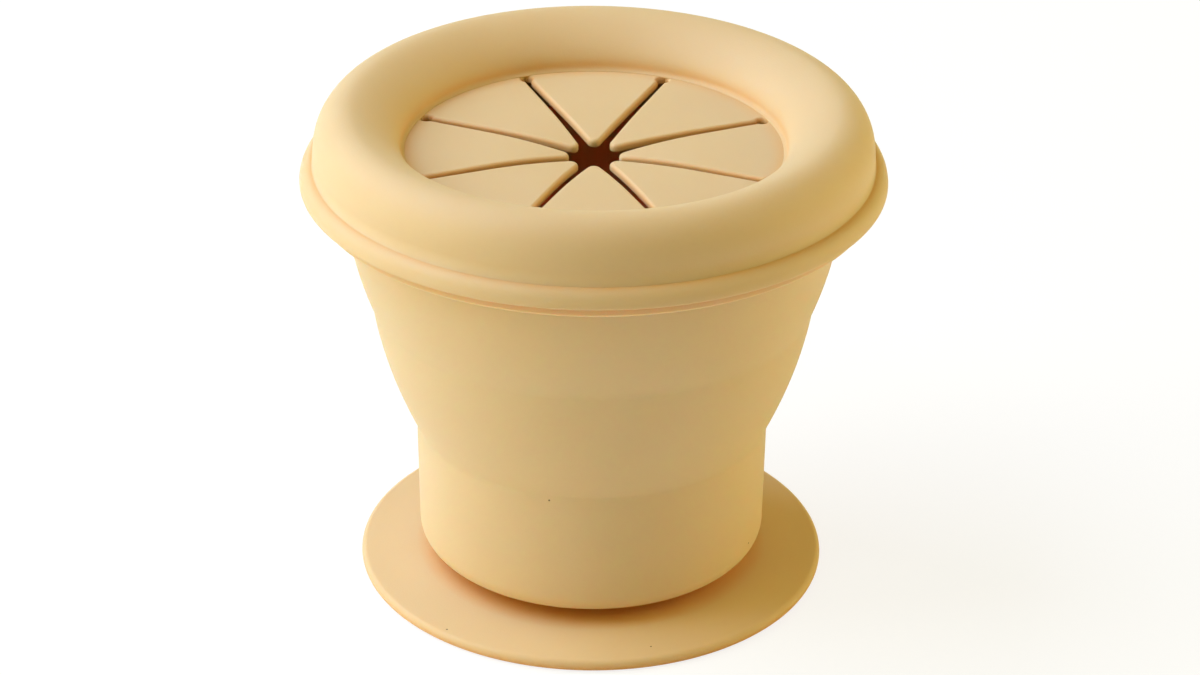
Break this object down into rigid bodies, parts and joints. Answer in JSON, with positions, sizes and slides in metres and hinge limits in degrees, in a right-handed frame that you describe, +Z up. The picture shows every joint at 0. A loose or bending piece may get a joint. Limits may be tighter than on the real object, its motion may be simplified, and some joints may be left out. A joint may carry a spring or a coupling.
{
  "type": "toddler snack container",
  "caption": "Round collapsible silicone snack cup on a suction foot, with a padded ring lid whose flaps bend around a small hand.",
  "frame": {"origin": "centre of the suction foot's underside, on the table", "axes": "+Z up along the cup's centre line; one flap points along each of +X, -X, +Y and -Y"},
  "size_m": [0.11, 0.11, 0.0959],
  "materials": {
    "foot_silicone": "matte",
    "cup_silicone": "matte",
    "lid_silicone": "matte",
    "flap_silicone": "matte"
  },
  "bodies": {
    "base": {"suction_foot": "foot_silicone", "cup_base_tier": "cup_silicone", "cup_fold_band": "cup_silicone"},
    "cup_top": {"cup_rim_tier": "cup_silicone"},
    "lid": {"lid_ring": "lid_silicone"},
    "lid_flap_1": {"lid_flap_1": "flap_silicone"},
    "lid_flap_2": {"lid_flap_2": "flap_silicone"},
    "lid_flap_3": {"lid_flap_3": "flap_silicone"},
    "lid_flap_4": {"lid_flap_4": "flap_silicone"},
    "lid_flap_5": {"lid_flap_5": "flap_silicone"},
    "lid_flap_6": {"lid_flap_6": "flap_silicone"},
    "lid_flap_7": {"lid_flap_7": "flap_silicone"},
    "lid_flap_8": {"lid_flap_8": "flap_silicone"}
  },
  "joints": [
    {"name": "cup_collapse", "type": "slide", "parent": "base", "child": "cup_top", "axis": [0, 0, -1], "range_m": [0, 0.05], "deforming": ["cup_fold_band"]},
    {"name": "lid_lift", "type": "slide", "parent": "cup_top", "child": "lid", "axis": [0, 0, 1], "range_m": [0, 0.04]},
    {"name": "flap_1_bend", "type": "hinge", "parent": "lid", "child": "lid_flap_1", "pos_m": [0.03178, 0, 0.0861], "axis": [0, -1, 0], "range_deg": [-60, 60], "stiffness_Nm_per_rad": 0.003, "springref_deg": -1.32},
    {"name": "flap_2_bend", "type": "hinge", "parent": "lid", "child": "lid_flap_2", "pos_m": [0.02247, 0.02247, 0.0861], "axis": [0.7071, -0.7071, 0], "range_deg": [-60, 60], "stiffness_Nm_per_rad": 0.003, "springref_deg": -1.32},
    {"name": "flap_3_bend", "type": "hinge", "parent": "lid", "child": "lid_flap_3", "pos_m": [0, 0.03178, 0.0861], "axis": [1, 0, 0], "range_deg": [-60, 60], "stiffness_Nm_per_rad": 0.003, "springref_deg": -1.32},
    {"name": "flap_4_bend", "type": "hinge", "parent": "lid", "child": "lid_flap_4", "pos_m": [-0.02247, 0.02247, 0.0861], "axis": [0.7071, 0.7071, 0], "range_deg": [-60, 60], "stiffness_Nm_per_rad": 0.003, "springref_deg": -1.32},
    {"name": "flap_5_bend", "type": "hinge", "parent": "lid", "child": "lid_flap_5", "pos_m": [-0.03178, 0, 0.0861], "axis": [0, 1, 0], "range_deg": [-60, 60], "stiffness_Nm_per_rad": 0.003, "springref_deg": -1.32},
    {"name": "flap_6_bend", "type": "hinge", "parent": "lid", "child": "lid_flap_6", "pos_m": [-0.02247, -0.02247, 0.0861], "axis": [-0.7071, 0.7071, 0], "range_deg": [-60, 60], "stiffness_Nm_per_rad": 0.003, "springref_deg": -1.32},
    {"name": "flap_7_bend", "type": "hinge", "parent": "lid", "child": "lid_flap_7", "pos_m": [0, -0.03178, 0.0861], "axis": [-1, 0, 0], "range_deg": [-60, 60], "stiffness_Nm_per_rad": 0.003, "springref_deg": -1.32},
    {"name": "flap_8_bend", "type": "hinge", "parent": "lid", "child": "lid_flap_8", "pos_m": [0.02247, -0.02247, 0.0861], "axis": [-0.7071, -0.7071, 0], "range_deg": [-60, 60], "stiffness_Nm_per_rad": 0.003, "springref_deg": -1.32}
  ]
}
